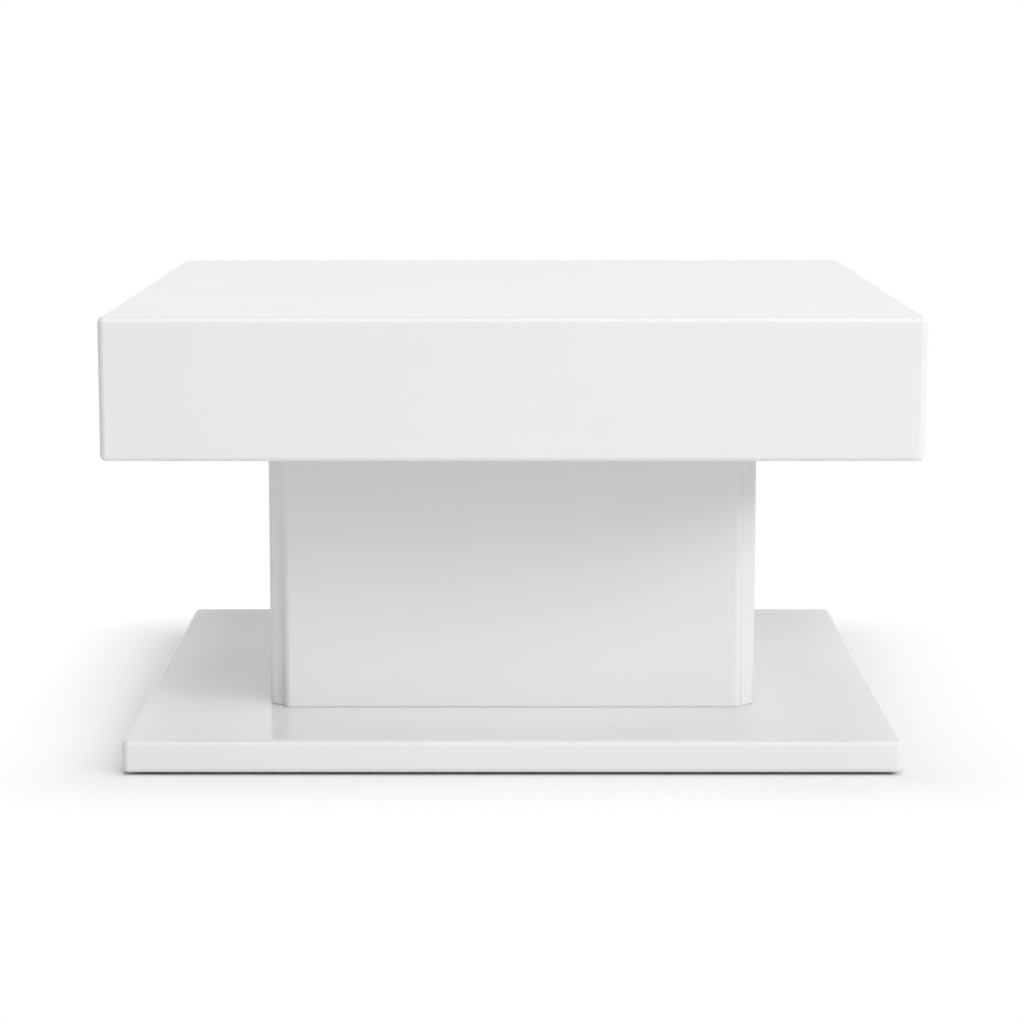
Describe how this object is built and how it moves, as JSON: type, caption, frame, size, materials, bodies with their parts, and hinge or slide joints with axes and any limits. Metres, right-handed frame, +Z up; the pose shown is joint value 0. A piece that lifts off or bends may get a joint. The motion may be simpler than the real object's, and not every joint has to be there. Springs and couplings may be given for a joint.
{
  "type": "coffee table",
  "caption": "Low square coffee table: thick white gloss-lacquered box top on a set-back column with coved corners, standing on a wide plinth board.",
  "frame": {"origin": "on the floor plane, below the middle of the table top", "axes": "+Z up, front of the table towards -Y, +X to the right seen from the front"},
  "size_m": [0.8, 0.8, 0.462],
  "materials": {
    "white_lacquer": "high-gloss white lacquer on sanded fibreboard",
    "raw_fibreboard": "raw fibreboard",
    "softwood": "planed softwood",
    "plywood": "raw plywood",
    "beech": "plain turned beech",
    "zinc_plated_steel": "bright zinc plate",
    "brass": "turned brass",
    "glide_plastic": "moulded plastic, lightly textured"
  },
  "bodies": {
    "root": {"apron_back": "white_lacquer", "apron_front": "white_lacquer", "apron_left": "white_lacquer", "apron_right": "white_lacquer", "base_board": "white_lacquer", "base_bolts": "zinc_plated_steel", "base_inserts": "brass", "base_washers": "zinc_plated_steel", "bolt_bearer_left": "softwood", "bolt_bearer_right": "softwood", "column_panel_back": "white_lacquer", "column_panel_front": "white_lacquer", "column_panel_left": "white_lacquer", "column_panel_right": "white_lacquer", "core_rib_back": "raw_fibreboard", "core_rib_front": "raw_fibreboard", "core_rib_left": "raw_fibreboard", "core_rib_right": "raw_fibreboard", "corner_post_back_left": "softwood", "corner_post_back_right": "softwood", "corner_post_front_left": "softwood", "corner_post_front_right": "softwood", "foot_dowels": "beech", "foot_rail_back": "softwood", "foot_rail_front": "softwood", "foot_rail_left": "softwood", "foot_rail_right": "softwood", "glide_back_left": "glide_plastic", "glide_back_right": "glide_plastic", "glide_front_left": "glide_plastic", "glide_front_right": "glide_plastic", "glide_screws": "zinc_plated_steel", "head_dowels": "beech", "head_rail_back": "softwood", "head_rail_front": "softwood", "head_rail_left": "softwood", "head_rail_right": "softwood", "mitre_splines": "plywood", "panel_screws": "zinc_plated_steel", "rail_dowels": "beech", "top_bolts": "zinc_plated_steel", "top_inserts": "brass", "top_panel": "white_lacquer", "top_washers": "zinc_plated_steel", "underside_panel": "white_lacquer"}
  },
  "joints": []
}
